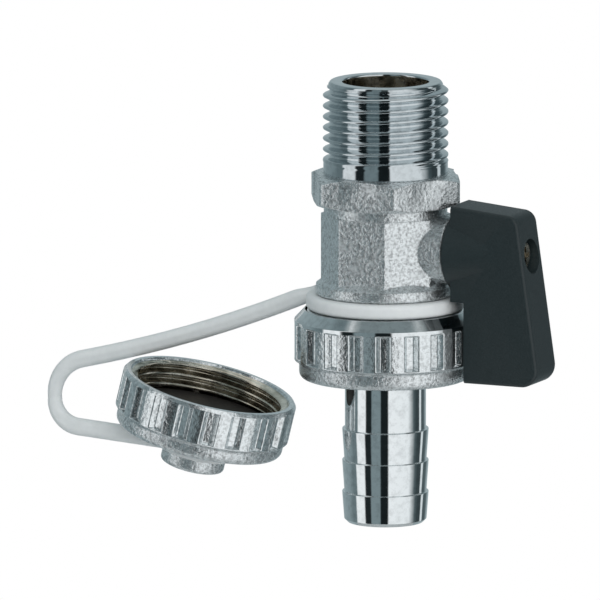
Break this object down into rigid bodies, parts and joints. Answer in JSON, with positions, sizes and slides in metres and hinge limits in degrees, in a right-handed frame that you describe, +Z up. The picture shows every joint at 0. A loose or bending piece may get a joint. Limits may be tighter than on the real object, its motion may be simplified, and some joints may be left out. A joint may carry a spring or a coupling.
{
  "type": "drain cock",
  "caption": "Chrome ball-type drain cock with threaded inlet, black lever handle, union nut with barbed hose tail, and a ribbed screw cap on a white strap.",
  "frame": {"origin": "on the flow axis, at the shoulder where the inlet thread meets the hexagon", "axes": "+Z up the inlet thread, towards the fitting it screws into; +X along the stem towards the handle"},
  "size_m": [0.091, 0.0304, 0.0744],
  "materials": {
    "forged_chrome": "chrome plate over a forged and blasted skin, polished where it is turned",
    "polished_chrome": "chrome plate over a turned face, polished",
    "black_plastic": "fine moulded grain",
    "white_plastic": "natural translucent moulding",
    "brass": "turned",
    "seat_plastic": "turned, waxy",
    "rubber": "moulded",
    "screw_steel": "zinc plated"
  },
  "bodies": {
    "body": {"valve_body": "forged_chrome", "seat_retainer": "brass", "upper_seat": "seat_plastic", "lower_seat": "seat_plastic", "retainer_oring": "rubber"},
    "handle": {"handle": "black_plastic", "stem": "brass", "ball": "polished_chrome", "thrust_washer": "seat_plastic", "inner_stem_oring": "rubber", "outer_stem_oring": "rubber", "handle_screw": "screw_steel", "screw_washer": "screw_steel"},
    "hose_tail": {"hose_tail": "polished_chrome", "tail_washer": "rubber"},
    "union_nut": {"union_nut": "forged_chrome"},
    "strap": {"strap": "white_plastic"},
    "cap": {"cap": "forged_chrome", "cap_washer": "rubber"}
  },
  "joints": [
    {"name": "handle_turn", "type": "hinge", "parent": "body", "child": "handle", "pos_m": [0, 0, -0.0123], "axis": [-1, 0, 0], "range_deg": [0, 90]},
    {"name": "tail_drop", "type": "slide", "parent": "body", "child": "hose_tail", "axis": [0, 0, -1], "range_m": [0, 0.007]},
    {"name": "nut_turn", "type": "hinge", "parent": "hose_tail", "child": "union_nut", "pos_m": [0, 0, -0.029], "axis": [0, 0, -1], "range_deg": [0, 1389]},
    {"name": "strap_swivel", "type": "hinge", "parent": "body", "child": "strap", "pos_m": [0, 0, -0.02155], "axis": [0, 0, 1], "range_deg": [-120, 120]},
    {"name": "cap_turn", "type": "hinge", "parent": "strap", "child": "cap", "pos_m": [-0.03451, 0, -0.04809], "axis": [0.2453, 0, 0.9694], "continuous": true}
  ],
  "couplings": [
    {"joint": "tail_drop", "follows": "nut_turn", "m_per_rad": 0.00028871}
  ]
}
